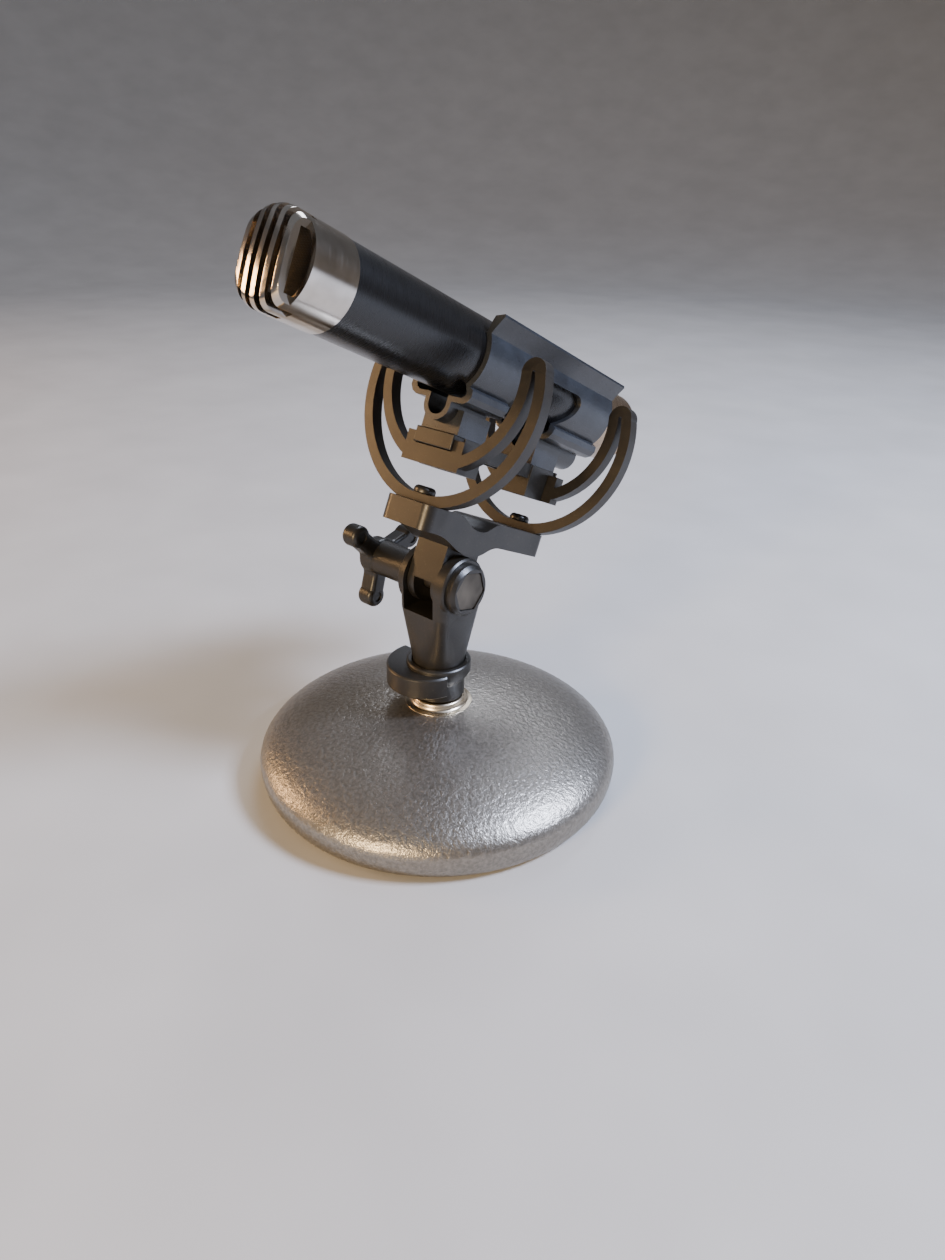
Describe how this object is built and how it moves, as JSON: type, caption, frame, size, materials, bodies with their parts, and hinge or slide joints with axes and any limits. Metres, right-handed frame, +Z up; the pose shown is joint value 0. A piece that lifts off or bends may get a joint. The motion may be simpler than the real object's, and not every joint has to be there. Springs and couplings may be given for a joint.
{
  "type": "condenser microphone",
  "caption": "Slim end-address microphone in a spring clip on an elastic lyre shock mount, with a tilting swivel and a domed round desk base.",
  "frame": {"origin": "centre of the base pad's underside", "axes": "+Z up, the microphone points to -Y and upwards, the swivel bolt lies along X with the knob on the -X side"},
  "size_m": [0.105, 0.1342, 0.1559],
  "materials": {
    "hammered_paint": "hammered silver-grey paint",
    "foot_felt": "matte",
    "zinc_steel": "zinc plated",
    "black_nylon": "moulded satin",
    "brass": "turned",
    "bolt_steel": "blackened",
    "lyre_elastomer": "moulded matte",
    "clip_plastic": "moulded satin",
    "nickel_plate": "polished nickel",
    "steel_mesh": "woven",
    "gold_film": "sputtered film",
    "white_insulator": "turned",
    "body_paint": "satin black plating",
    "board_laminate": "glass laminate",
    "black_phenolic": "moulded",
    "pin_gold": "gold plated"
  },
  "bodies": {
    "base": {"base_casting": "hammered_paint", "base_pad": "foot_felt", "stand_stud": "zinc_steel"},
    "lock_ring": {"lock_ring": "black_nylon"},
    "adaptor": {"swivel_fork": "black_nylon", "thread_insert": "brass", "swivel_bolt": "bolt_steel", "knob_washer": "zinc_steel"},
    "knob": {"clamp_knob": "black_nylon", "knob_insert": "brass"},
    "bar": {"lower_bar": "black_nylon", "lyre_pins": "black_nylon", "front_lyre": "lyre_elastomer", "rear_lyre": "lyre_elastomer"},
    "cradle": {"upper_rail": "black_nylon", "clip_screws": "zinc_steel", "mic_clip": "clip_plastic", "front_lyre_key": "black_nylon", "rear_lyre_key": "black_nylon"},
    "microphone": {"slat_head": "nickel_plate", "head_mesh": "steel_mesh", "capsule_ring": "brass", "diaphragm": "gold_film", "backplate": "brass", "capsule_insulator": "white_insulator", "capsule_contact": "brass", "body_tube": "body_paint", "joint_ring": "brass", "circuit_board": "board_laminate", "rear_sleeve": "nickel_plate", "xlr_insert": "black_phenolic", "xlr_pins": "pin_gold", "sleeve_set_screw": "bolt_steel"}
  },
  "joints": [
    {"name": "pan", "type": "hinge", "parent": "base", "child": "adaptor", "pos_m": [0, 0, 0.0395], "axis": [0, 0, 1], "range_deg": [-180, 180]},
    {"name": "lock_ring_turn", "type": "hinge", "parent": "base", "child": "lock_ring", "pos_m": [0, 0, 0.0316], "axis": [0, 0, 1], "continuous": true},
    {"name": "tilt", "type": "hinge", "parent": "adaptor", "child": "bar", "pos_m": [0, 0, 0.0615], "axis": [1, 0, 0], "range_deg": [-50, 75]},
    {"name": "knob_turn", "type": "hinge", "parent": "adaptor", "child": "knob", "pos_m": [-0.016, 0, 0.0615], "axis": [1, 0, 0], "range_deg": [-270, 0]},
    {"name": "suspension", "type": "slide", "parent": "bar", "child": "cradle", "axis": [0, 0.4163, 0.9092], "range_m": [-0.003, 0.003], "stiffness_N_per_m": 2500, "deforming": ["front_lyre", "rear_lyre"]},
    {"name": "mic_slide", "type": "slide", "parent": "cradle", "child": "microphone", "axis": [0, -0.9092, 0.4163], "range_m": [-0.03, 0.015]}
  ]
}
